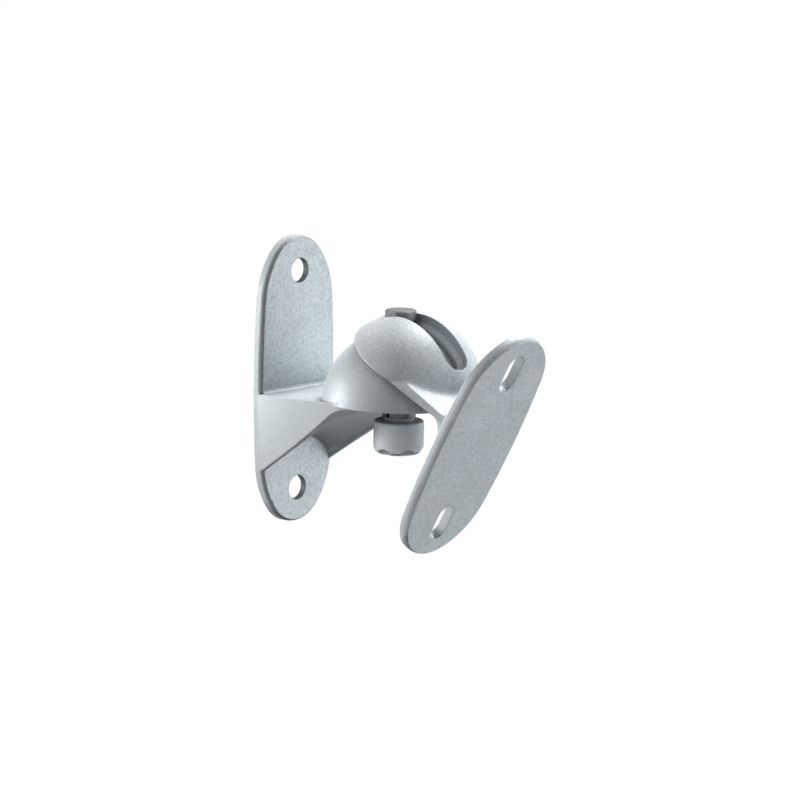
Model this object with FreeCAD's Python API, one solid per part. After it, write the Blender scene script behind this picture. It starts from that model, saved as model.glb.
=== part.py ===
import FreeCAD, Part
import math
import os

from FreeCAD import Vector

# A wall bracket for a small speaker: a wall casting that ends in a dome, a speaker casting whose
# cap sits on that dome, and one clamp bolt through both. Millimetres. The wall is the plane y = 0,
# the bracket stands out along -Y, and +Z is up. The origin is the middle of the wall plate's back.

# Wall plate
PLATE_HEIGHT = 73.0
PLATE_WIDTH = 26.6
PLATE_BOW = 0.73
PLATE_SHOULDER = 20.85
PLATE_TIP_RADIUS = 10.1
PLATE_THICK = 2.7
PLATE_SIDE = 1.4
PLATE_EDGE = 1.8
HOLE_SPACING = 55.5
HOLE_DIA = 6.2
POCKET_DEPTH = 1.0
POCKET_RIM = 2.6
POCKET_START = 9.0

# Dome and the arm that carries it
DOME_REACH = 36.85
DOME_HEIGHT = -2.1
DOME_RADIUS = 19.1
BASE_HEIGHT = -0.7
LIP_HEIGHT = 0.9
SHELF_DROP = 2.6
ARM_INSET = 0.02
ARM_ROOT_INSET = 0.12
ARM_LOW_NOSE = 9.5
NOSE_INSET = 0.05
TAIL_REACH = 0.5
TAIL_INSET = 0.9
GUSSET_FOOT = 21.8
GUSSET_TRIM = 8.0
GUSSET_BEND = 12.0
GUSSET_EDGE = 0.5
HOLLOW_CLEARANCE = 10.4
HOLLOW_HALF = 11.5
HOLLOW_END_HALF = 13.0
HOLLOW_END_RISE = 0.3
SHELF_FILLET = 1.0
SHELF_INSET = 0.6
BOSS_RADIUS = 4.0
BOSS_HEIGHT = 2.5

# Cap, flange and speaker plate, in the speaker casting's own frame
TILT_DEG = 27.9
SEAT_FIT = 0.06
CAP_WALL_TOP = 4.4
CAP_RIM_HEIGHT = 13.3
CAP_RIM_RADIUS = 16.8
FLANGE_THICK = 1.5
FLANGE_HALF = 14.2
FLANGE_DRAFT = 0.1
FLANGE_INSET = 0.05
VALLEY_RADIUS = 2.6
SPEAKER_PLATE_GAP = 3.9
SPEAKER_PLATE_RISE = 5.18
SPEAKER_PLATE_HEIGHT = 64.2
SPEAKER_PLATE_WIDTH = 29.4
SPEAKER_PLATE_BOW = 1.0
SPEAKER_PLATE_SHOULDER = 18.6
SPEAKER_PLATE_TIP = 11.6
SPEAKER_PLATE_THICK = 2.6
SPEAKER_PLATE_SIDE = 1.1
SPEAKER_PLATE_EDGE = 2.4
SPEAKER_PLATE_REAR_EDGE = 0.2
SLOT_SPACING = 44.4
SLOT_WIDTH = 5.4
SLOT_LENGTH = 10.2
LOWER_FILLET = 4.5
UPPER_FILLET = 1.6

# Clamp bolt, washer and nut
SHANK_RADIUS = 2.5
SHANK_CHAMFER = 0.5
BORE_CLEARANCE = 0.3
LEDGE_WIDTH = 1.0
LEDGE_FLOOR = 0.85
CHANNEL_FRONT_DEG = 22.9
CHANNEL_BACK_DEG = 30.5
HEAD_FLAT_GAP = 0.25
HEAD_ROUND_GAP = 0.05
HEAD_SEAT_GAP = 0.1
HEAD_PROUD = 0.85
HEAD_CHAMFER = 0.35
STACK_GAP = 0.05
WASHER_RADIUS = 4.1
WASHER_THICK = 1.4
WASHER_SPLIT = 0.9
WASHER_SPLIT_DEG = 12.0
COLLAR_RADIUS = 3.85
COLLAR_HEIGHT = 0.9
GRIP_RADIUS = 6.2
GRIP_HEIGHT = 8.3
GRIP_EDGE = 2.0
GRIP_TOP_EDGE = 0.6
THREAD_FIT = 0.05
THREAD_LENGTH = 5.4
THREAD_RUNOUT = 0.3
SOCKET_WIDTH = 5.0
SOCKET_DEPTH = 2.6
SCALLOP_COUNT = 6
SCALLOP_RADIUS = 4.2
SCALLOP_DEPTH = 2.2
SCALLOP_DROP = 1.9
SCALLOP_TURN_DEG = 4.7

# Values that follow from the ones above
DOME_CENTRE = Vector(0, -DOME_REACH, DOME_HEIGHT)
X_AXIS = Vector(1, 0, 0)
Y_AXIS = Vector(0, 1, 0)
Z_AXIS = Vector(0, 0, 1)
BORE_RADIUS = SHANK_RADIUS + BORE_CLEARANCE
CAP_INNER_RADIUS = DOME_RADIUS + SEAT_FIT
CAP_TOP = CAP_INNER_RADIUS + CAP_WALL_TOP
CAP_RISE = CAP_TOP - CAP_RIM_HEIGHT
CAP_OUTER_RADIUS = (CAP_RIM_RADIUS ** 2 + CAP_RISE ** 2) / (2 * CAP_RISE)
CAP_CENTRE = CAP_TOP - CAP_OUTER_RADIUS
FLANGE_TOP = CAP_RIM_HEIGHT + FLANGE_THICK
ARM_ROOT = PLATE_SIDE - ARM_ROOT_INSET
PLATE_BOW_RADIUS = (PLATE_SHOULDER ** 2 + PLATE_BOW ** 2) / (2 * PLATE_BOW)
PLATE_OVAL = (PLATE_WIDTH, PLATE_HEIGHT, PLATE_BOW, PLATE_SHOULDER, PLATE_TIP_RADIUS)
SPEAKER_OVAL = (SPEAKER_PLATE_WIDTH, SPEAKER_PLATE_HEIGHT, SPEAKER_PLATE_BOW,
                SPEAKER_PLATE_SHOULDER, SPEAKER_PLATE_TIP)
SPEAKER_PLATE_BACK = -(DOME_RADIUS + SPEAKER_PLATE_GAP)
NARROW_HALF = SHANK_RADIUS + BORE_CLEARANCE
CHANNEL_HALF = NARROW_HALF + LEDGE_WIDTH
LEDGE_RADIUS = CAP_INNER_RADIUS + LEDGE_FLOOR
BIG = 60.0
OVERRUN = 3.0
BITE = 0.4
NEAR = 0.01


def arc(centre_x, centre_z, radius, start, end):
    """Edge of a circle in the XZ plane, through the angle halfway between start and end."""
    points = []
    for angle in (start, (start + end) / 2, end):
        x = centre_x + radius * math.cos(angle)
        z = centre_z + radius * math.sin(angle)
        points.append(Vector(x, 0, z))
    return Part.Arc(*points).toShape()


def oval_wire(width, height, bow, shoulder, tip_radius, inset=0.0):
    """Oval in the XZ plane: bowed sides, shoulder arcs and tip arcs, tangent where they meet."""
    half_w = width / 2
    half_h = height / 2
    side_r = (shoulder ** 2 + bow ** 2) / (2 * bow)
    side_x = half_w - side_r
    first = math.asin(shoulder / side_r)
    end_x = side_x + side_r * math.cos(first)
    across = end_x - tip_radius * math.cos(first)
    along = half_h - tip_radius - shoulder + tip_radius * math.sin(first)
    second = 2 * math.atan2(across, along) - first
    shoulder_r = tip_radius + across / (math.cos(first) - math.cos(second))
    should_x = end_x - shoulder_r * math.cos(first)
    should_z = shoulder - shoulder_r * math.sin(first)
    tip_z = half_h - tip_radius
    pi = math.pi
    edges = [
        arc(side_x, 0, side_r - inset, -first, first),
        arc(should_x, should_z, shoulder_r - inset, first, second),
        arc(0, tip_z, tip_radius - inset, second, pi - second),
        arc(-should_x, should_z, shoulder_r - inset, pi - second, pi - first),
        arc(-side_x, 0, side_r - inset, pi - first, pi + first),
        arc(-should_x, -should_z, shoulder_r - inset, pi + first, pi + second),
        arc(0, -tip_z, tip_radius - inset, pi + second, 2 * pi - second),
        arc(should_x, -should_z, shoulder_r - inset, 2 * pi - second, 2 * pi - first),
    ]
    return Part.Wire(edges)


def plate_solid(wire, thickness, back_y):
    """Plate from a wire in the XZ plane: its back at back_y and its front towards -Y."""
    face = Part.Face(wire)
    solid = face.extrude(Vector(0, -thickness, 0))
    solid.translate(Vector(0, back_y, 0))
    return solid


def crisp_plate(wire, thickness, side, edge):
    """Plate with its back at y = 0: a flat side, then an arc that the flat front cuts before it is level."""
    full = plate_solid(wire, side + edge, 0)
    front = edges_at(full, lambda p: p.y < -side - edge + NEAR)
    rounded = full.makeFillet(edge, front)
    block = Part.makeBox(2 * BIG, thickness + OVERRUN, 2 * BIG, Vector(-BIG, -thickness, -BIG))
    return rounded.common(block).Solids[0]


def edges_at(shape, test):
    """Edges of a shape whose points all pass the test."""
    found = []
    for edge in shape.Edges:
        if edge.Degenerated:
            continue
        if all(test(point) for point in edge.discretize(5)):
            found.append(edge)
    return found


def cylinder(radius, low, high, axis_y=0.0):
    """Upright cylinder from height low to height high, its axis at x = 0 and y = axis_y."""
    return Part.makeCylinder(radius, high - low, Vector(0, axis_y, low), Z_AXIS)


def half_space(low, high):
    """Large block between two heights."""
    return Part.makeBox(2 * BIG, 2 * BIG, high - low, Vector(-BIG, -BIG, low))


def tangent_point(start_x, start_y, radius):
    """Place where a line from the start touches a circle round the Z axis, on the +X side."""
    distance = math.hypot(start_x, start_y)
    turn = math.acos(radius / distance)
    angle = math.atan2(start_y, start_x) - turn
    return radius * math.cos(angle), radius * math.sin(angle)


def make_wall_plate():
    """Oval plate whose rounded edge ends at a crisp line round the flat front."""
    return crisp_plate(oval_wire(*PLATE_OVAL), PLATE_THICK, PLATE_SIDE, PLATE_EDGE)


def wall_pockets():
    """Cutter of the two shallow pockets in the plate's back, above and below its flat middle."""
    pocket = plate_solid(oval_wire(*PLATE_OVAL, inset=POCKET_RIM), POCKET_DEPTH, 0)
    return pocket.cut(half_space(-POCKET_START, POCKET_START))


def wall_holes():
    """Cutters of the two wall screw holes."""
    holes = []
    for side in (1, -1):
        start = Vector(0, OVERRUN, side * HOLE_SPACING / 2)
        holes.append(Part.makeCylinder(HOLE_DIA / 2, PLATE_THICK + 2 * OVERRUN, start, -Y_AXIS))
    return holes


def arm_root_half(z):
    """Half width of the arm's root at one height, just inside the wall plate's bowed side."""
    side = math.sqrt(PLATE_BOW_RADIUS ** 2 - z ** 2) - PLATE_BOW_RADIUS
    return PLATE_WIDTH / 2 + side - ARM_INSET


def arm_root_wire(low, high):
    """Closed wire of the arm's root: level below and above, with the plate's bow at both sides."""
    sides = []
    for sign in (1, -1):
        points = [Vector(sign * arm_root_half(z), -ARM_ROOT, z) for z in (low, (low + high) / 2, high)]
        sides.append(points)
    right, left = sides
    edges = [
        Part.makeLine(left[0], right[0]),
        Part.Arc(*right).toShape(),
        Part.makeLine(right[2], left[2]),
        Part.Arc(left[2], left[1], left[0]).toShape(),
    ]
    return Part.Wire(edges)


def arm_nose():
    """Place, from above, where the arm's side meets the dome."""
    root_x = arm_root_half(0)
    nose_x, nose_y = tangent_point(root_x, DOME_REACH - ARM_ROOT, DOME_RADIUS - NOSE_INSET)
    return nose_x, nose_y - DOME_REACH


def gusset_line():
    """Foot of the gusset's slope, the end of the slope and the point where the slope meets the base."""
    foot = Vector(0, -PLATE_THICK, -GUSSET_FOOT)
    bend = Vector(0, arm_nose()[1], BASE_HEIGHT)
    run = (bend - foot).normalize()
    return foot, bend - run * (GUSSET_BEND / 2), bend


def make_arm():
    """Arm from the plate to the dome: hull-shaped from above, with the gusset's slope below."""
    nose_x, nose_y = arm_nose()
    shelf_nose = BASE_HEIGHT + LIP_HEIGHT
    shelf_root = shelf_nose - SHELF_DROP
    low = -GUSSET_FOOT - GUSSET_TRIM
    nose = [Vector(-ARM_LOW_NOSE, nose_y, low), Vector(ARM_LOW_NOSE, nose_y, low),
            Vector(nose_x, nose_y, shelf_nose), Vector(-nose_x, nose_y, shelf_nose)]
    tail_y = nose_y - GUSSET_BEND / 2 - TAIL_REACH
    tail_x = nose_x - TAIL_INSET
    tail = [Vector(-ARM_LOW_NOSE, tail_y, low), Vector(ARM_LOW_NOSE, tail_y, low),
            Vector(tail_x, tail_y, shelf_nose), Vector(-tail_x, tail_y, shelf_nose)]
    wires = [arm_root_wire(low, shelf_root)]
    wires += [Part.makePolygon(points + points[:1]) for points in (nose, tail)]
    block = Part.makeLoft(wires, True, True)
    foot, first, bend = gusset_line()
    run = (bend - foot).normalize()
    last = bend + Vector(0, -1, 0) * (GUSSET_BEND / 2)
    turn = math.atan2(run.z, -run.y)
    radius = (GUSSET_BEND / 2) / math.tan(turn / 2)
    centre = last + Vector(0, 0, -radius)
    middle = centre + Vector(0, math.sin(turn / 2), math.cos(turn / 2)) * radius
    start = foot - run * GUSSET_TRIM
    edges = [
        Part.makeLine(start, first),
        Part.Arc(first, middle, last).toShape(),
        Part.makeLine(last, Vector(0, -BIG, BASE_HEIGHT)),
        Part.makeLine(Vector(0, -BIG, BASE_HEIGHT), Vector(0, -BIG, -BIG)),
        Part.makeLine(Vector(0, -BIG, -BIG), Vector(0, start.y, -BIG)),
        Part.makeLine(Vector(0, start.y, -BIG), start),
    ]
    below = Part.Face(Part.Wire(edges)).extrude(Vector(2 * BIG, 0, 0))
    below.translate(Vector(-BIG, 0, 0))
    return block.cut(below).Solids[0]


def arch_wire(half, foot, crown, y):
    """Closed wire at one depth: an arch over the span, and everything below it."""
    corners = [Vector(half, y, foot), Vector(half, y, -BIG), Vector(-half, y, -BIG), Vector(-half, y, foot)]
    edges = [Part.Arc(corners[3], Vector(0, y, crown), corners[0]).toShape()]
    edges += [Part.makeLine(a, b) for a, b in zip(corners, corners[1:])]
    return Part.Wire(edges)


def arm_hollow():
    """Cutter of the hollow under the arm: an arch round the lower screw that fades out towards the dome."""
    radius = HOLE_DIA / 2 + HOLLOW_CLEARANCE
    middle = -HOLE_SPACING / 2
    foot = middle + math.sqrt(radius ** 2 - HOLLOW_HALF ** 2)
    near = arch_wire(HOLLOW_HALF, foot, middle + radius, -PLATE_THICK)
    first = gusset_line()[1]
    far = arch_wire(HOLLOW_END_HALF, first.z, first.z + HOLLOW_END_RISE, first.y)
    return Part.makeLoft([near, far], True, True)


def shelf_cove():
    """Hollow rounding between the wall plate's front and the arm's shelf."""
    nose_y = arm_nose()[1]
    slope = math.atan2(SHELF_DROP, -nose_y - ARM_ROOT)
    front = -PLATE_THICK
    height = BASE_HEIGHT + LIP_HEIGHT - SHELF_DROP + (PLATE_THICK - ARM_ROOT) * math.tan(slope)
    reach = SHELF_FILLET * math.tan((math.pi / 2 + slope) / 2)
    on_plate = Vector(0, front, height + reach)
    on_shelf = Vector(0, front - reach * math.cos(slope), height + reach * math.sin(slope))
    centre = Vector(0, front - SHELF_FILLET, height + reach)
    root = Vector(0, front, height)
    middle = centre + (root - centre).normalize() * SHELF_FILLET
    bite = (PLATE_THICK - PLATE_SIDE) / 2
    corners = [on_shelf, on_shelf - Z_AXIS * bite, Vector(0, front + bite, height - bite),
               on_plate + Y_AXIS * bite, on_plate]
    edges = [Part.makeLine(a, b) for a, b in zip(corners, corners[1:])]
    edges.append(Part.Arc(on_plate, middle, on_shelf).toShape())
    half = PLATE_WIDTH / 2 - SHELF_INSET
    solid = Part.Face(Part.Wire(edges)).extrude(X_AXIS * (2 * half))
    solid.translate(X_AXIS * -half)
    return solid


def make_wall_bracket():
    """Wall casting: plate, arm, dome and the seat boss under the dome, as one solid."""
    plate = make_wall_plate()
    arm = make_arm()
    low_edges = edges_at(arm, lambda p: abs(p.x) > ARM_LOW_NOSE and p.z < BASE_HEIGHT - GUSSET_EDGE)
    low_edges = [edge for edge in low_edges if edge.BoundBox.YLength > GUSSET_BEND]
    arm = arm.makeFillet(GUSSET_EDGE, GUSSET_EDGE / 2, low_edges)
    arm = arm.cut(arm_hollow())
    dome = Part.makeSphere(DOME_RADIUS, DOME_CENTRE)
    dome = dome.common(half_space(BASE_HEIGHT, BIG))
    boss = cylinder(BOSS_RADIUS, BASE_HEIGHT - BOSS_HEIGHT, BASE_HEIGHT + BITE, -DOME_REACH)
    body = plate.fuse([arm, dome, boss, shelf_cove()]).removeSplitter()
    bore = cylinder(BORE_RADIUS, -BIG, BIG, -DOME_REACH)
    return body.cut([bore, wall_pockets()] + wall_holes()).removeSplitter()


def channel_profile():
    """Cross section of the stepped slot: across in x, out from the ball's centre in z."""
    top = CAP_TOP + OVERRUN
    floor = LEDGE_RADIUS
    below = DOME_RADIUS - OVERRUN
    ledge = floor + LEDGE_WIDTH
    return [(NARROW_HALF, below), (NARROW_HALF, floor), (CHANNEL_HALF, ledge), (CHANNEL_HALF, top)]


def make_channel():
    """Cutter of the stepped slot that runs over the cap in the tilt direction, round at both ends."""
    half = channel_profile()
    points = [Vector(x, 0, z) for x, z in half]
    points = points + [Vector(-x, 0, z) for x, z in reversed(half)]
    section = Part.Face(Part.makePolygon(points + points[:1]))
    section.rotate(Vector(0, 0, 0), X_AXIS, -CHANNEL_BACK_DEG)
    sweep = section.revolve(Vector(0, 0, 0), X_AXIS, CHANNEL_BACK_DEG + CHANNEL_FRONT_DEG)
    ends = []
    for angle in (-CHANNEL_BACK_DEG, CHANNEL_FRONT_DEG):
        points = [Vector(x, 0, z) for x, z in half]
        points = [Vector(0, 0, half[0][1])] + points + [Vector(0, 0, half[-1][1])]
        face = Part.Face(Part.makePolygon(points + points[:1]))
        end = face.revolve(Vector(0, 0, 0), Z_AXIS, 360)
        end.rotate(Vector(0, 0, 0), X_AXIS, angle)
        ends.append(end)
    return sweep.fuse(ends).removeSplitter()


def make_speaker_plate():
    """Oval plate for the speaker, with the same kind of edge as the wall plate."""
    plate = crisp_plate(oval_wire(*SPEAKER_OVAL), SPEAKER_PLATE_THICK, SPEAKER_PLATE_SIDE, SPEAKER_PLATE_EDGE)
    rear = edges_at(plate, lambda p: p.y > -NEAR)
    plate = plate.makeFillet(SPEAKER_PLATE_REAR_EDGE, rear)
    plate.translate(Vector(0, SPEAKER_PLATE_BACK, SPEAKER_PLATE_RISE))
    return plate


def speaker_slots():
    """Cutters of the two slots in the speaker plate."""
    cutters = []
    depth = SPEAKER_PLATE_THICK + 2 * OVERRUN
    front = SPEAKER_PLATE_BACK - SPEAKER_PLATE_THICK - OVERRUN
    straight = SLOT_LENGTH - SLOT_WIDTH
    for side in (1, -1):
        middle = SPEAKER_PLATE_RISE + side * SLOT_SPACING / 2
        corner = Vector(-SLOT_WIDTH / 2, front, middle - straight / 2)
        cutters.append(Part.makeBox(SLOT_WIDTH, depth, straight, corner))
        for end in (1, -1):
            start = Vector(0, front, middle + end * straight / 2)
            cutters.append(Part.makeCylinder(SLOT_WIDTH / 2, depth, start, Y_AXIS))
    return cutters


def flange_outline(level):
    """Outline of the flange from above, level 0 at its foot and level 1 at its top.

    The foot's sides run from the cap's rim, which they touch, to the speaker plate. The top's sides
    run straight forward, so the side faces turn.
    """
    height = CAP_RIM_HEIGHT + level * FLANGE_THICK
    end_y = SPEAKER_PLATE_THICK / 2 - SPEAKER_PLATE_BACK
    side_x, side_y = tangent_point(FLANGE_HALF, end_y, CAP_RIM_RADIUS - FLANGE_INSET)
    top_x = FLANGE_HALF - FLANGE_DRAFT
    side_x = side_x + level * (top_x - side_x)
    end_x = FLANGE_HALF - level * FLANGE_DRAFT
    points = [Vector(side_x, -side_y, height), Vector(end_x, -end_y, height),
              Vector(-end_x, -end_y, height), Vector(-side_x, -side_y, height)]
    return Part.makePolygon(points + points[:1])


def make_flange():
    """Flange from the cap to the speaker plate, with a hollow rounding up to the cap."""
    top = FLANGE_TOP
    rise = top + VALLEY_RADIUS - CAP_CENTRE
    reach = CAP_OUTER_RADIUS + VALLEY_RADIUS
    centre_r = math.sqrt(reach ** 2 - rise ** 2)
    share = CAP_OUTER_RADIUS / reach
    on_cap = Vector(centre_r * share, 0, CAP_CENTRE + rise * share)
    centre = Vector(centre_r, 0, top + VALLEY_RADIUS)
    on_top = Vector(centre_r, 0, top)
    way = (on_cap - centre).normalize() + Vector(0, 0, -1)
    middle = centre + way.normalize() * VALLEY_RADIUS
    inner = Vector(on_cap.x - OVERRUN, 0, on_cap.z)
    foot = Vector(on_cap.x - OVERRUN, 0, CAP_RIM_HEIGHT + FLANGE_THICK / 2)
    corner = Vector(centre_r, 0, CAP_RIM_HEIGHT + FLANGE_THICK / 2)
    edges = [
        Part.makeLine(inner, on_cap),
        Part.Arc(on_cap, middle, on_top).toShape(),
        Part.makeLine(on_top, corner),
        Part.makeLine(corner, foot),
        Part.makeLine(foot, inner),
    ]
    ring = Part.Face(Part.Wire(edges)).revolve(Vector(0, 0, 0), Z_AXIS, 360)
    slab = half_space(CAP_RIM_HEIGHT, top).fuse(ring)
    return slab.common(Part.makeLoft([flange_outline(0), flange_outline(2)], True, True))


def cove(radius, height, side, half_width):
    """Hollow rounding along X between the speaker plate's back and the flange, above or below it."""
    back = SPEAKER_PLATE_BACK
    on_flange = Vector(0, back + radius, height)
    on_plate = Vector(0, back, height + side * radius)
    centre = Vector(0, back + radius, height + side * radius)
    middle = centre + Vector(0, -1, -side).normalize() * radius
    corners = [
        on_plate,
        Vector(0, back - BITE, height + side * radius),
        Vector(0, back - BITE, height - side * BITE),
        Vector(0, back + radius, height - side * BITE),
        on_flange,
    ]
    edges = [Part.makeLine(a, b) for a, b in zip(corners, corners[1:])]
    edges.append(Part.Arc(on_flange, middle, on_plate).toShape())
    solid = Part.Face(Part.Wire(edges)).extrude(Vector(2 * half_width, 0, 0))
    solid.translate(Vector(-half_width, 0, 0))
    return solid


def make_speaker_bracket():
    """Speaker casting: cap, flange and plate as one solid, set at the tilt of the photograph."""
    plate = make_speaker_plate()
    cap = Part.makeSphere(CAP_OUTER_RADIUS, Vector(0, 0, CAP_CENTRE))
    cap = cap.common(half_space(CAP_RIM_HEIGHT, BIG))
    lower = cove(LOWER_FILLET, CAP_RIM_HEIGHT, -1, FLANGE_HALF)
    upper = cove(UPPER_FILLET, FLANGE_TOP, 1, FLANGE_HALF - FLANGE_DRAFT)
    body = plate.fuse([make_flange(), cap, lower, upper]).removeSplitter()
    ball = Part.makeSphere(CAP_INNER_RADIUS, Vector(0, 0, 0))
    body = body.cut([ball, make_channel()] + speaker_slots()).removeSplitter()
    body.rotate(Vector(0, 0, 0), X_AXIS, TILT_DEG)
    body.translate(DOME_CENTRE)
    return body


def stack_heights():
    """Heights of the faces under the dome: washer top and foot, collar top and foot, grip foot."""
    washer_top = BASE_HEIGHT - BOSS_HEIGHT - STACK_GAP
    washer_foot = washer_top - WASHER_THICK
    collar_top = washer_foot - STACK_GAP
    collar_foot = collar_top - COLLAR_HEIGHT
    return washer_top, washer_foot, collar_top, collar_foot, collar_foot - GRIP_HEIGHT


def make_clamp_bolt():
    """Bolt: round head with two flats and a conical seat, and the shank down into the nut."""
    collar_top = stack_heights()[2]
    seat = DOME_HEIGHT + LEDGE_RADIUS + HEAD_SEAT_GAP * math.sqrt(2)
    head_r = CHANNEL_HALF + HEAD_ROUND_GAP
    tilt = math.radians(TILT_DEG)
    aside = CAP_CENTRE * math.sin(tilt)
    reach = CAP_CENTRE * math.cos(tilt) + math.sqrt(CAP_OUTER_RADIUS ** 2 - aside ** 2)
    top = DOME_HEIGHT + reach + HEAD_PROUD
    end = collar_top - THREAD_LENGTH
    profile = [
        Vector(0, 0, top),
        Vector(head_r - HEAD_CHAMFER, 0, top),
        Vector(head_r, 0, top - HEAD_CHAMFER),
        Vector(head_r, 0, seat + head_r - NARROW_HALF),
        Vector(SHANK_RADIUS, 0, seat + SHANK_RADIUS - NARROW_HALF),
        Vector(SHANK_RADIUS, 0, end + SHANK_CHAMFER),
        Vector(SHANK_RADIUS - SHANK_CHAMFER, 0, end),
        Vector(0, 0, end),
    ]
    bolt = Part.Face(Part.makePolygon(profile + profile[:1])).revolve(Vector(0, 0, 0), Z_AXIS, 360)
    flat = CHANNEL_HALF - HEAD_FLAT_GAP
    for edge_x in (flat, -flat - OVERRUN):
        block = Part.makeBox(OVERRUN, 2 * BIG, BIG, Vector(edge_x, -BIG, seat - OVERRUN))
        bolt = bolt.cut(block)
    bolt.translate(Vector(0, -DOME_REACH, 0))
    return bolt


def make_lock_washer():
    """Split spring washer: a flat ring with one slanted cut."""
    top, foot = stack_heights()[:2]
    ring = cylinder(WASHER_RADIUS, foot, top).cut(cylinder(BORE_RADIUS, foot - OVERRUN, top + OVERRUN))
    reach = WASHER_RADIUS + OVERRUN
    cut = Part.makeBox(reach, WASHER_SPLIT, 2 * reach, Vector(-reach, -WASHER_SPLIT / 2, -reach))
    cut.rotate(Vector(0, 0, 0), X_AXIS, WASHER_SPLIT_DEG)
    cut.translate(Vector(0, 0, (top + foot) / 2))
    washer = ring.cut(cut)
    washer.translate(Vector(0, -DOME_REACH, 0))
    return washer


def make_clamp_nut():
    """Grip nut: collar, round body with a scalloped lower edge, thread hole and socket."""
    collar_top, collar_foot, foot = stack_heights()[2:]
    grip = cylinder(GRIP_RADIUS, foot, collar_foot)
    low = edges_at(grip, lambda p: p.z < foot + NEAR)
    grip = grip.makeFillet(GRIP_EDGE, low)
    high = edges_at(grip, lambda p: p.z > collar_foot - NEAR)
    grip = grip.makeFillet(GRIP_TOP_EDGE, high)
    body = grip.fuse(cylinder(COLLAR_RADIUS, collar_foot - BITE, collar_top))
    thread_end = collar_top - THREAD_LENGTH - THREAD_RUNOUT
    cutters = [cylinder(SHANK_RADIUS + THREAD_FIT, thread_end, collar_top + OVERRUN)]
    corner = SOCKET_WIDTH / math.sqrt(3)
    points = []
    for k in range(6):
        angle = math.radians(60 * k)
        points.append(Vector(corner * math.cos(angle), corner * math.sin(angle), foot - OVERRUN))
    hexagon = Part.Face(Part.makePolygon(points + points[:1]))
    cutters.append(hexagon.extrude(Vector(0, 0, SOCKET_DEPTH + OVERRUN)))
    ring = GRIP_RADIUS + SCALLOP_RADIUS - SCALLOP_DEPTH
    for k in range(SCALLOP_COUNT):
        angle = math.radians(SCALLOP_TURN_DEG + 360 * k / SCALLOP_COUNT)
        place = Vector(ring * math.cos(angle), ring * math.sin(angle), foot - SCALLOP_DROP)
        cutters.append(Part.makeSphere(SCALLOP_RADIUS, place))
    body = body.cut(cutters)
    body.translate(Vector(0, -DOME_REACH, 0))
    return body.removeSplitter()


def main():
    """Builds each node and writes it to its own file."""
    os.makedirs("parts", exist_ok=True)
    nodes = {
        "wall_bracket": make_wall_bracket(),
        "speaker_bracket": make_speaker_bracket(),
        "clamp_bolt": make_clamp_bolt(),
        "lock_washer": make_lock_washer(),
        "clamp_nut": make_clamp_nut(),
    }
    for name, shape in nodes.items():
        solids = shape.Solids
        print(name, "solids", len(solids), "valid", shape.isValid(), "volume", round(shape.Volume, 1))
        solids[0].exportStep("parts/" + name + ".step")


if __name__ == "__main__":
    main()
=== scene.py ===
"""Looks of a cast speaker wall bracket: finishes of its castings and clamp, a studio and a camera."""
import logging
import math
from dataclasses import dataclass, field, replace
from enum import Enum

import bpy
import numpy as np
from mathutils import Matrix, Vector

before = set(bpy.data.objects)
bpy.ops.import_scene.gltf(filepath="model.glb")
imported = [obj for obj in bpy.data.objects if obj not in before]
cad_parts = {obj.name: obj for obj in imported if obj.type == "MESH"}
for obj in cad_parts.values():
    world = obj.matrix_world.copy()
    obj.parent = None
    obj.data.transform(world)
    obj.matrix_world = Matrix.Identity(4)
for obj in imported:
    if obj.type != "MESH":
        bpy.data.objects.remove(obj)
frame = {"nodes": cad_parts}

LOG = logging.getLogger("bracket")
MM = 0.001
WHITE = (1.0, 1.0, 1.0, 1.0)

# The wall plate: its thickness with a hair more, the spacing of its holes, and a radius just past theirs
PLATE_DEPTH = 2.72 * MM
HOLE_SPACING = 55.5 * MM
HOLE_REACH = 3.15 * MM

Colour = tuple[float, float, float]
Place = tuple[float, float, float]
Range = tuple[float, float]
Socket = bpy.types.NodeSocket
Tree = bpy.types.NodeTree

# Ranges of a face's normal, of its open sky and of the patterns, between which the finishes and their painted
# shade change
SIDEWAYS: Range = (0.6, 0.95)
DOWNWARDS: Range = (-0.62, -0.5)
RIM_FRONT: Range = (-0.97, -0.85)
RIM_BACK: Range = (-0.35, -0.1)
EDGE_TURN: Range = (0.995, 0.9)
OPEN_SKY: Range = (0.25, 0.9)
PATTERN: Range = (0.3, 0.7)
MASK: Range = (0.0, 1.0)
RAY_SAMPLES = 6


class Piece(Enum):
    """The bracket's pieces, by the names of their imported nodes."""

    WALL_CASTING = "wall_bracket"
    SPEAKER_CASTING = "speaker_bracket"
    BOLT = "clamp_bolt"
    WASHER = "lock_washer"
    NUT = "clamp_nut"


class Ray(Enum):
    """Kinds of light ray that see the studio's white instead of its plain colour."""

    CAMERA = "Is Camera Ray"
    GLOSSY = "Is Glossy Ray"
    TRANSMISSION = "Is Transmission Ray"


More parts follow.
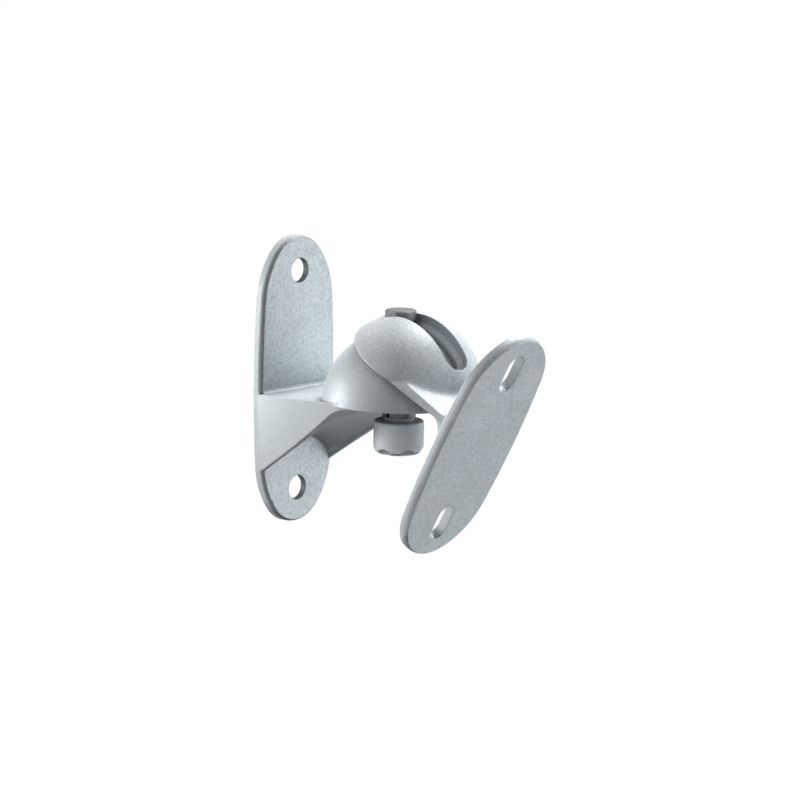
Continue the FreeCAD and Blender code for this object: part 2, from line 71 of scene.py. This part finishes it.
@dataclass
class Graph:
    """A node tree with short ways to add and join nodes.

    Args:
        tree: The tree that the nodes go into.
    """

    tree: Tree

    def add(self, kind: str, **values: object) -> bpy.types.Node:
        """Adds a node and sets its own properties.

        Args:
            kind: Blender's type name of the node.
            values: The node's properties by name.

        Returns:
            The new node.
        """
        node = self.tree.nodes.new(kind)
        for name, value in values.items():
            setattr(node, name, value)
        return node

    def join(self, source: Socket, target: Socket) -> None:
        """Links an output to an input.

        Args:
            source: The output.
            target: The input.
        """
        self.tree.links.new(source, target)

    def feed(self, value: Socket | float, target: Socket) -> None:
        """Gives an input its number.

        Args:
            value: The number, or the output that gives it.
            target: The input.
        """
        if isinstance(value, (int, float)):
            target.default_value = value
        else:
            self.join(value, target)

    def maths(self, operation: str, first: Socket | float, second: Socket | float = 0.0) -> Socket:
        """Adds a math node.

        Args:
            operation: Blender's name of the operation.
            first: The first number, or the output that gives it.
            second: The second number, or the output that gives it.

        Returns:
            The node's result.
        """
        node = self.add("ShaderNodeMath", operation=operation)
        for place, value in zip(node.inputs, (first, second)):
            self.feed(value, place)
        return node.outputs[0]

    def split(self, vector: Socket) -> list[Socket]:
        """Adds a node that takes a vector apart.

        Args:
            vector: The vector.

        Returns:
            Its three numbers.
        """
        node = self.add("ShaderNodeSeparateXYZ")
        self.join(vector, node.inputs[0])
        return list(node.outputs)

    def length(self, first: Socket, second: Socket) -> Socket:
        """Adds the length of a vector of two numbers.

        Args:
            first: The first number.
            second: The second number.

        Returns:
            The length.
        """
        squares = [self.maths("MULTIPLY", value, value) for value in (first, second)]
        return self.maths("SQRT", self.maths("ADD", *squares))

    def noise(self, vector: Socket, scale: Socket | float, detail: float, roughness: float) -> Socket:
        """Adds fractal noise.

        Args:
            vector: Where the noise is read.
            scale: Its cells per unit of the vector.
            detail: Its number of octaves.
            roughness: The weight of each octave against the one before.

        Returns:
            The noise, about 0.5 in the mean.
        """
        node = self.add("ShaderNodeTexNoise")
        self.join(vector, node.inputs["Vector"])
        for name, value in (("Scale", scale), ("Detail", detail), ("Roughness", roughness)):
            self.feed(value, node.inputs[name])
        return node.outputs["Fac"]

    def swing(self, noise: Socket, amount: Socket) -> Socket:
        """Adds a noise's distance from its mean, times an amount.

        Args:
            noise: The noise.
            amount: The amount.

        Returns:
            The product, about 0 in the mean.
        """
        return self.maths("MULTIPLY", self.maths("SUBTRACT", noise, 0.5), amount)

    def spread(self, value: Socket, source: Range, low: float, high: float) -> Socket:
        """Adds a map range node that clamps.

        Args:
            value: The number to map.
            source: The numbers that become low and high.
            low: The result at the first of them.
            high: The result at the second.

        Returns:
            The mapped number.
        """
        node = self.add("ShaderNodeMapRange")
        self.join(value, node.inputs["Value"])
        for name, number in zip(("From Min", "From Max", "To Min", "To Max"), (*source, low, high)):
            node.inputs[name].default_value = number
        return node.outputs["Result"]


def new_group(name: str, inputs: dict[str, float], outputs: tuple[str, ...]) -> tuple[Graph, dict, dict]:
    """Starts a shader node group that reads a place and some numbers and gives numbers.

    Args:
        name: The group's name.
        inputs: The number inputs and their usual values. A vector input named Place comes first.
        outputs: The number outputs.

    Returns:
        The group's graph, its inputs by name and its outputs by name.
    """
    tree = bpy.data.node_groups.new(name, "ShaderNodeTree")
    tree.interface.new_socket("Place", in_out="INPUT", socket_type="NodeSocketVector")
    for title, value in inputs.items():
        socket = tree.interface.new_socket(title, in_out="INPUT", socket_type="NodeSocketFloat")
        socket.default_value = value
    for title in outputs:
        tree.interface.new_socket(title, in_out="OUTPUT", socket_type="NodeSocketFloat")
    graph = Graph(tree)
    start = graph.add("NodeGroupInput")
    end = graph.add("NodeGroupOutput")
    return graph, {s.name: s for s in start.outputs}, {s.name: s for s in end.inputs}


def blasted_grain() -> Tree:
    """Group of the blasted skin: fine grains with pits between them, and slow clouds.

    Returns:
        The group. Shade is a factor on the colour and Height feeds a bump.
    """
    fineness, cloud_size, coarse_share, cloud_share = 2.7, 0.07, 0.6, 0.2
    graph, source, result = new_group("Blasted grain", {"Scale": 1400.0, "Contrast": 0.2}, ("Shade", "Height"))
    place, scale, contrast = source["Place"], source["Scale"], source["Contrast"]
    coarse = graph.noise(place, scale, detail=2.0, roughness=0.6)
    fine = graph.noise(place, graph.maths("MULTIPLY", scale, fineness), detail=2.0, roughness=0.55)
    cloud = graph.noise(place, graph.maths("MULTIPLY", scale, cloud_size), detail=2.0, roughness=0.5)
    grain = graph.maths("ADD", graph.maths("MULTIPLY", coarse, coarse_share),
                        graph.maths("MULTIPLY", fine, 1.0 - coarse_share))
    quick = graph.swing(grain, contrast)
    slow = graph.swing(cloud, graph.maths("MULTIPLY", contrast, cloud_share))
    graph.join(graph.maths("ADD", graph.maths("ADD", 1.0, quick), slow), result["Shade"])
    graph.join(grain, result["Height"])
    return graph.tree


def turned_lines() -> Tree:
    """Group of a lathe's marks: noise that changes only with height and with distance from an upright axis.

    Returns:
        The group. Shade is a factor on the colour and Height feeds a bump.
    """
    graph, source, result = new_group("Turned lines", {"Scale": 6000.0, "Contrast": 0.2}, ("Shade", "Height"))
    x, y, z = graph.split(source["Place"])
    place = graph.add("ShaderNodeCombineXYZ")
    graph.join(graph.length(x, y), place.inputs["X"])
    graph.join(z, place.inputs["Z"])
    lines = graph.noise(place.outputs[0], source["Scale"], detail=3.0, roughness=0.65)
    graph.join(graph.maths("ADD", 1.0, graph.swing(lines, source["Contrast"])), result["Shade"])
    graph.join(lines, result["Height"])
    return graph.tree


def plate_marks() -> Tree:
    """Group of two masks on the wall plate.

    Returns:
        The group. Plate is 1 on the wall plate, and Bore is 1 on the walls of its screw holes.
    """
    numbers = {"Depth": PLATE_DEPTH, "Spacing": HOLE_SPACING, "Radius": HOLE_REACH}
    graph, source, result = new_group("Plate marks", numbers, ("Plate", "Bore"))
    x, y, z = graph.split(source["Place"])
    plate = graph.maths("GREATER_THAN", graph.maths("ADD", y, source["Depth"]), 0.0)
    hole = graph.maths("MULTIPLY", source["Spacing"], 0.5)
    height = graph.maths("SUBTRACT", graph.maths("ABSOLUTE", z), hole)
    inside = graph.maths("LESS_THAN", graph.length(x, height), source["Radius"])
    graph.join(plate, result["Plate"])
    graph.join(graph.maths("MULTIPLY", inside, plate), result["Bore"])
    return graph.tree


@dataclass(frozen=True)
class Finish:
    """A surface finish with a pattern group, made once and shared by its pieces.

    Args:
        name: The material's name.
        colour: The mean colour, linear.
        metallic: How far it is bare metal.
        roughness: The mean roughness.
        roughness_swing: How far the roughness follows the pattern.
        specular: The specular level of what isn't metal.
        scale: The pattern's cells per metre.
        contrast: The pattern's share in the colour.
        relief: The height of the pattern's bump in metres.
        edge: The radius in metres to which the edges look rounded.
        edge_rub_and_highlight: How much lighter the edges are, partly from wear and partly a painted
            highlight.
        painted_corner_shade: How much darker the corners and gaps are, a painted shade.
        corner_shade_reach: How far in metres a corner or gap darkens the faces beside it with its painted
            shade.
        painted_downward_shade: How much darker the faces are that look down, a painted shade.
        plate_edge_painted_shade: The same on the wall plate, where it is below 0: a painted shade that darkens
            the plate's edges.
        painted_hole_shade: How much darker the walls of the wall plate's holes are, a painted shade.
        painted_edge_band_shade: How much darker the rounded outer edge of the wall plate is, a painted shade.
        calm: How much weaker the pattern is on the faces that look sideways.
        centre: Where the pattern's upright axis stands, in metres.
    """

    name: str
    colour: Colour
    metallic: float
    roughness: float
    roughness_swing: float
    specular: float
    scale: float
    contrast: float
    relief: float
    edge: float
    edge_rub_and_highlight: float
    painted_corner_shade: float
    corner_shade_reach: float
    painted_downward_shade: float
    plate_edge_painted_shade: float = 0.0
    painted_hole_shade: float = 0.0
    painted_edge_band_shade: float = 0.0
    calm: float = 0.0
    centre: Place = (0.0, 0.0, 0.0)

    def make(self, pattern: Tree, marks: Tree) -> bpy.types.Material:
        """Builds the material.

        Args:
            pattern: The group that gives its Shade and Height.
            marks: The group that gives its Plate and Bore.

        Returns:
            The material.
        """
        material = bpy.data.materials.new(self.name)
        material.use_nodes = True
        graph = Graph(material.node_tree)
        shader = material.node_tree.nodes["Principled BSDF"]
        shader.inputs["Metallic"].default_value = self.metallic
        shader.inputs["Specular IOR Level"].default_value = self.specular
        place = graph.add("ShaderNodeTexCoord")
        normal = graph.split(place.outputs["Normal"])
        texture = self.texture(graph, pattern, place.outputs["Object"], normal[0])
        rounded = graph.add("ShaderNodeBevel", samples=RAY_SAMPLES)
        rounded.inputs["Radius"].default_value = self.edge
        marked = graph.add("ShaderNodeGroup", node_tree=marks)
        graph.join(place.outputs["Object"], marked.inputs["Place"])
        plate, painted_hole_shade = marked.outputs["Plate"], marked.outputs["Bore"]
        # Edges: wear with a painted highlight, and a painted shade on the wall plate's edges
        shade = graph.maths("ADD", texture["Shade"], self.edge_rub_and_painted_light(graph, rounded.outputs[0], plate))
        factors = (
            # painted shade in corners and gaps
            self.painted_corner_shade_factor(graph),
            # painted shade on the faces that look down
            graph.spread(normal[2], DOWNWARDS, 1.0 - self.painted_downward_shade, 1.0),
            # painted shade on the walls of the wall plate's holes
            graph.spread(painted_hole_shade, MASK, 1.0, 1.0 - self.painted_hole_shade),
            # painted shade on the wall plate's rounded outer edge
            self.painted_edge_band_shade_factor(graph, normal[1], plate),
        )
        for factor in factors:
            shade = graph.maths("MULTIPLY", shade, factor)
        tint = graph.add("ShaderNodeVectorMath", operation="SCALE")
        tint.inputs[0].default_value = self.colour
        graph.join(shade, tint.inputs["Scale"])
        graph.join(tint.outputs[0], shader.inputs["Base Color"])
        dull, bright = self.roughness + self.roughness_swing, self.roughness - self.roughness_swing
        graph.join(graph.spread(texture["Height"], PATTERN, dull, bright), shader.inputs["Roughness"])
        bump = graph.add("ShaderNodeBump")
        bump.inputs["Distance"].default_value = self.relief
        bump.inputs["Strength"].default_value = 1.0
        graph.join(texture["Height"], bump.inputs["Height"])
        graph.join(rounded.outputs[0], bump.inputs["Normal"])
        graph.join(bump.outputs[0], shader.inputs["Normal"])
        return material

    def texture(self, graph: Graph, pattern: Tree, place: Socket, across: Socket) -> dict[str, Socket]:
        """Adds the pattern, weaker on the faces that look sideways.

        Args:
            graph: The material's graph.
            pattern: The pattern's group.
            place: The place on the piece.
            across: The normal's part to the right.

        Returns:
            The group's outputs by name.
        """
        shift = graph.add("ShaderNodeMapping")
        shift.inputs["Location"].default_value = [-c for c in self.centre]
        graph.join(place, shift.inputs["Vector"])
        group = graph.add("ShaderNodeGroup", node_tree=pattern)
        graph.join(shift.outputs[0], group.inputs["Place"])
        group.inputs["Scale"].default_value = self.scale
        sideways = graph.maths("ABSOLUTE", across)
        weak = self.contrast * (1.0 - self.calm)
        graph.join(graph.spread(sideways, SIDEWAYS, self.contrast, weak), group.inputs["Contrast"])
        return {s.name: s for s in group.outputs}

    def edge_rub_and_painted_light(self, graph: Graph, rounded: Socket, plate: Socket) -> Socket:
        """Adds the edges' light and shade painted into the colour: lighter from wear with a painted highlight,
        and on the wall plate a painted shade.

        Args:
            graph: The material's graph.
            rounded: The normal of the surface with rounded edges.
            plate: 1 on the wall plate.

        Returns:
            The number to add to the shade.
        """
        true = graph.add("ShaderNodeNewGeometry")
        facing = graph.add("ShaderNodeVectorMath", operation="DOT_PRODUCT")
        graph.join(rounded, facing.inputs[0])
        graph.join(true.outputs["Normal"], facing.inputs[1])
        edge = graph.spread(facing.outputs["Value"], EDGE_TURN, 0.0, 1.0)
        # Painted highlight on the edges, painted shade on the wall plate's edges
        return graph.maths("MULTIPLY", edge, graph.spread(plate, MASK, self.edge_rub_and_highlight, self.plate_edge_painted_shade))

    def painted_corner_shade_factor(self, graph: Graph) -> Socket:
        """Adds the shade of corners and gaps.

        Args:
            graph: The material's graph.

        Returns:
            The factor on the shade.
        """
        # Painted shade: the colour darkens where ambient occlusion finds other surfaces near
        sky = graph.add("ShaderNodeAmbientOcclusion", samples=RAY_SAMPLES)
        sky.inputs["Distance"].default_value = self.corner_shade_reach
        return graph.spread(sky.outputs["AO"], OPEN_SKY, 1.0 - self.painted_corner_shade, 1.0)

    def painted_edge_band_shade_factor(self, graph: Graph, towards_wall: Socket, plate: Socket) -> Socket:
        """Adds the painted shade on the wall plate's rounded outer edge.

        Args:
            graph: The material's graph.
            towards_wall: The normal's part towards the wall.
            plate: 1 on the wall plate.

        Returns:
            The factor on the shade.
        """
        # Painted shade on the plate's rounded outer edge, between its front and its sides
        turned = graph.maths("MULTIPLY", graph.spread(towards_wall, RIM_FRONT, 0.0, self.painted_edge_band_shade),
                             graph.spread(towards_wall, RIM_BACK, 1.0, 0.0))
        return graph.maths("SUBTRACT", 1.0, graph.maths("MULTIPLY", turned, plate))


def direction(azimuth: float, elevation: float) -> Vector:
    """Unit vector from the bracket to a place round it.

    Args:
        azimuth: Degrees round the upright axis: 0 in front of the wall, 90 at the right.
        elevation: Degrees above the horizon.

    Returns:
        The vector.
    """
    a, e = math.radians(azimuth), math.radians(elevation)
    return Vector((math.sin(a) * math.cos(e), -math.cos(a) * math.cos(e), math.sin(e)))


@dataclass(frozen=True)
class Lamp:
    """A soft studio lamp that points at the bracket.

    Args:
        name: Its name.
        azimuth: Where it stands, in degrees round the bracket: 0 in front, 90 at the right.
        elevation: Its height in degrees above the horizon.
        size: The side of its square face in metres.
        power: Its power in watts.
        colour: Its colour, linear.
        distance: Its distance in metres.
    """

    name: str
    azimuth: float
    elevation: float
    size: float
    power: float
    colour: Colour = (1.0, 1.0, 1.0)
    distance: float = 0.7

    def light(self, aim: Vector) -> bpy.types.Object:
        """Makes the lamp.

        Args:
            aim: The point that it faces.

        Returns:
            The lamp's object.
        """
        data = bpy.data.lights.new(self.name, "AREA")
        data.size = self.size
        data.energy = self.power
        data.color = self.colour
        lamp = bpy.data.objects.new(self.name, data)
        back = direction(self.azimuth, self.elevation)
        lamp.location = aim + back * self.distance
        lamp.rotation_mode = "QUATERNION"
        lamp.rotation_quaternion = (-back).to_track_quat("-Z", "Y")
        bpy.context.scene.collection.objects.link(lamp)
        return lamp


@dataclass
class Studio:
    """Pale floor, white surround and soft lamps.

    Args:
        aim: The point that the lamps face.
        floor_drop: How far the floor lies under the origin, in metres.
        floor_side: The side of the floor in metres.
        floor_colour: The floor's colour, linear.
        floor_roughness: The floor's roughness.
        floor_glow: The floor's own white, to which the lamps add the rest.
        ambient: The brightness of the surround as the surfaces' own light.
        lamps: The lamps.
    """

    aim: Vector = field(default_factory=lambda: Vector((0.0, -0.038, 0.0)))
    floor_drop: float = 1.5
    floor_side: float = 16.0
    floor_colour: Colour = (0.8, 0.8, 0.8)
    floor_roughness: float = 0.9
    floor_glow: float = 0.95
    ambient: float = 0.05
    lamps: tuple[Lamp, ...] = (
        Lamp("key_right", 97, 54, 0.32, 3.9),
        Lamp("top_right", 90, 65, 0.25, 1.4),
        Lamp("left_back", -148, 3, 0.25, 3.7),
        Lamp("left_high", -90, 32, 0.25, 0.35),
        Lamp("front_right", 42, -4, 0.45, 1.9, (0.97, 1.0, 1.03)),
        Lamp("front_low", 30, -25, 0.3, 0.5, (0.95, 1.0, 1.05)),
    )

    def build(self) -> None:
        """Makes the floor, the surround and the lamps."""
        scene = bpy.context.scene
        scene.view_settings.view_transform = "Standard"
        self.floor()
        self.surround()
        for lamp in self.lamps:
            lamp.light(self.aim)
            LOG.info("lamp %s", lamp.name)

    def seen(self, graph: Graph) -> Socket:
        """Adds the test for rays that see the studio's white.

        Args:
            graph: The graph of a material or of the world.

        Returns:
            1 for such a ray and 0 for others.
        """
        path = graph.add("ShaderNodeLightPath")
        total = path.outputs[Ray.CAMERA.value]
        for ray in (Ray.GLOSSY, Ray.TRANSMISSION):
            total = graph.maths("MAXIMUM", total, path.outputs[ray.value])
        return total

    def floor(self) -> bpy.types.Object:
        """Makes the floor: a level square sheet on a grid of two parameters.

        Returns:
            The floor's object.
        """
        count = 3
        line = np.linspace(-0.5, 0.5, count) * self.floor_side
        x, y = np.meshgrid(line, line, indexing="ij")
        points = np.stack([x, y, np.full_like(x, -self.floor_drop)], axis=-1).reshape(-1, 3)
        cells = np.arange(count - 1)
        low = (cells[:, None] * count + cells).ravel()
        faces = np.stack([low, low + count, low + count + 1, low + 1], axis=1)
        mesh = bpy.data.meshes.new("floor")
        mesh.from_pydata(points.tolist(), [], faces.tolist())
        mesh.materials.append(self.floor_finish())
        floor = bpy.data.objects.new("floor", mesh)
        bpy.context.scene.collection.objects.link(floor)
        return floor

    def floor_finish(self) -> bpy.types.Material:
        """Makes the floor's material: pale, and near white where it is seen.

        Returns:
            The material.
        """
        material = bpy.data.materials.new("floor")
        material.use_nodes = True
        graph = Graph(material.node_tree)
        shader = material.node_tree.nodes["Principled BSDF"]
        shader.inputs["Base Color"].default_value = (*self.floor_colour, 1.0)
        shader.inputs["Roughness"].default_value = self.floor_roughness
        shader.inputs["Emission Color"].default_value = WHITE
        glow = graph.maths("MULTIPLY", self.seen(graph), self.floor_glow)
        graph.join(glow, shader.inputs["Emission Strength"])
        return material

    def surround(self) -> None:
        """Sets the world: white where it is seen, and an even light elsewhere."""
        world = bpy.data.worlds.new("studio")
        bpy.context.scene.world = world
        world.use_nodes = True
        graph = Graph(world.node_tree)
        back = world.node_tree.nodes["Background"]
        back.inputs["Color"].default_value = WHITE
        gain = graph.maths("MULTIPLY", self.seen(graph), 1.0 - self.ambient)
        graph.join(graph.maths("ADD", gain, self.ambient), back.inputs["Strength"])


@dataclass(frozen=True)
class PhotoCamera:
    """The photograph's camera, found from the outlines of the plates, the dome and the nut.

    Args:
        azimuth: Degrees round the bracket, 0 in front of the wall.
        elevation: Degrees above the horizon.
        roll: Degrees that the frame is turned.
        distance: Millimetres to the plane through the origin.
        across: Millimetres from the frame's middle to the origin, to the right.
        rise: Millimetres from the frame's middle to the origin, upwards.
        focal: The focal length in pixels of the frame.
        frame: The frame's side in pixels.
        sensor: The sensor's side in millimetres.
        near: The distance in metres from which the camera sees.
    """

    azimuth: float = -48.30
    elevation: float = 10.20
    roll: float = 1.03
    distance: float = 758.2
    across: float = -27.59
    rise: float = 5.56
    focal: float = 3003.0
    frame: float = 800.0
    sensor: float = 36.0
    near: float = 0.01

    def build(self) -> bpy.types.Object:
        """Makes the camera and gives it to the scene.

        Returns:
            The camera's object.
        """
        a, r = math.radians(self.azimuth), math.radians(self.roll)
        back = direction(self.azimuth, self.elevation)
        level = Vector((math.cos(a), math.sin(a), 0.0))
        upright = back.cross(level)
        right = math.cos(r) * level + math.sin(r) * upright
        up = math.cos(r) * upright - math.sin(r) * level
        place = (back * self.distance - right * self.across - up * self.rise) * MM
        data = bpy.data.cameras.new("photo_camera")
        data.sensor_width = self.sensor
        data.lens = self.focal * self.sensor / self.frame
        data.clip_start = self.near
        camera = bpy.data.objects.new("photo_camera", data)
        axes = Matrix((right, up, back)).transposed().to_4x4()
        camera.matrix_world = Matrix.Translation(place) @ axes
        bpy.context.scene.collection.objects.link(camera)
        bpy.context.scene.camera = camera
        return camera


@dataclass
class Castings:
    """The two castings, in satin silver over a blasted skin.

    Args:
        skin: Their finish.
    """

    skin: Finish = Finish(
        name="blasted_casting",
        colour=(0.660, 0.715, 0.737),
        metallic=0.18,
        roughness=0.5,
        roughness_swing=0.08,
        specular=0.03,
        scale=1400.0,
        contrast=1.25,
        relief=0.06 * MM,
        edge=0.4 * MM,
        edge_rub_and_highlight=0.05,
        painted_corner_shade=0.45,
        corner_shade_reach=12.0 * MM,
        painted_downward_shade=0.45,
        plate_edge_painted_shade=-0.35,
        painted_hole_shade=0.7,
        painted_edge_band_shade=0.42,
        calm=0.7,
    )

    def dress(self, marks: Tree) -> None:
        """Gives both castings the finish.

        Args:
            marks: The group of the wall plate's masks.
        """
        material = self.skin.make(blasted_grain(), marks)
        for piece in (Piece.WALL_CASTING, Piece.SPEAKER_CASTING):
            wear(piece, material)


@dataclass
class Clamp:
    """The bolt, washer and nut, turned from steel.

    Args:
        nut: The finish of the nut.
        bolt: The finish of the bolt and the washer, which is darker.
    """

    nut: Finish = Finish(
        name="turned_steel",
        colour=(0.54, 0.57, 0.585),
        metallic=0.85,
        roughness=0.78,
        roughness_swing=0.08,
        specular=0.2,
        scale=5000.0,
        contrast=0.5,
        relief=0.01 * MM,
        edge=0.25 * MM,
        edge_rub_and_highlight=0.1,
        painted_corner_shade=0.6,
        corner_shade_reach=4.0 * MM,
        painted_downward_shade=0.55,
        centre=(0.0, -36.85 * MM, 0.0),
    )
    bolt: Finish = replace(nut, name="dark_steel", colour=(0.15, 0.158, 0.162), roughness=0.55)

    def dress(self, marks: Tree) -> None:
        """Gives the nut, the bolt and the washer their finishes.

        Args:
            marks: The group of the wall plate's masks.
        """
        lines = turned_lines()
        wear(Piece.NUT, self.nut.make(lines, marks))
        dark = self.bolt.make(lines, marks)
        for piece in (Piece.BOLT, Piece.WASHER):
            wear(piece, dark)


def wear(piece: Piece, material: bpy.types.Material) -> None:
    """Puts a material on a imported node.

    Args:
        piece: The piece.
        material: Its only material.
    """
    node = frame["nodes"][piece.value]
    node.data.materials.clear()
    node.data.materials.append(material)
    LOG.info("%s wears %s", piece.value, material.name)


def main() -> None:
    """Dresses the bracket, then builds the studio and the camera."""
    logging.basicConfig(level=logging.INFO, format="%(message)s")
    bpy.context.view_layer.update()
    marks = plate_marks()
    Castings().dress(marks)
    Clamp().dress(marks)
    Studio().build()
    PhotoCamera().build()


if __name__ == "__main__":
    main()
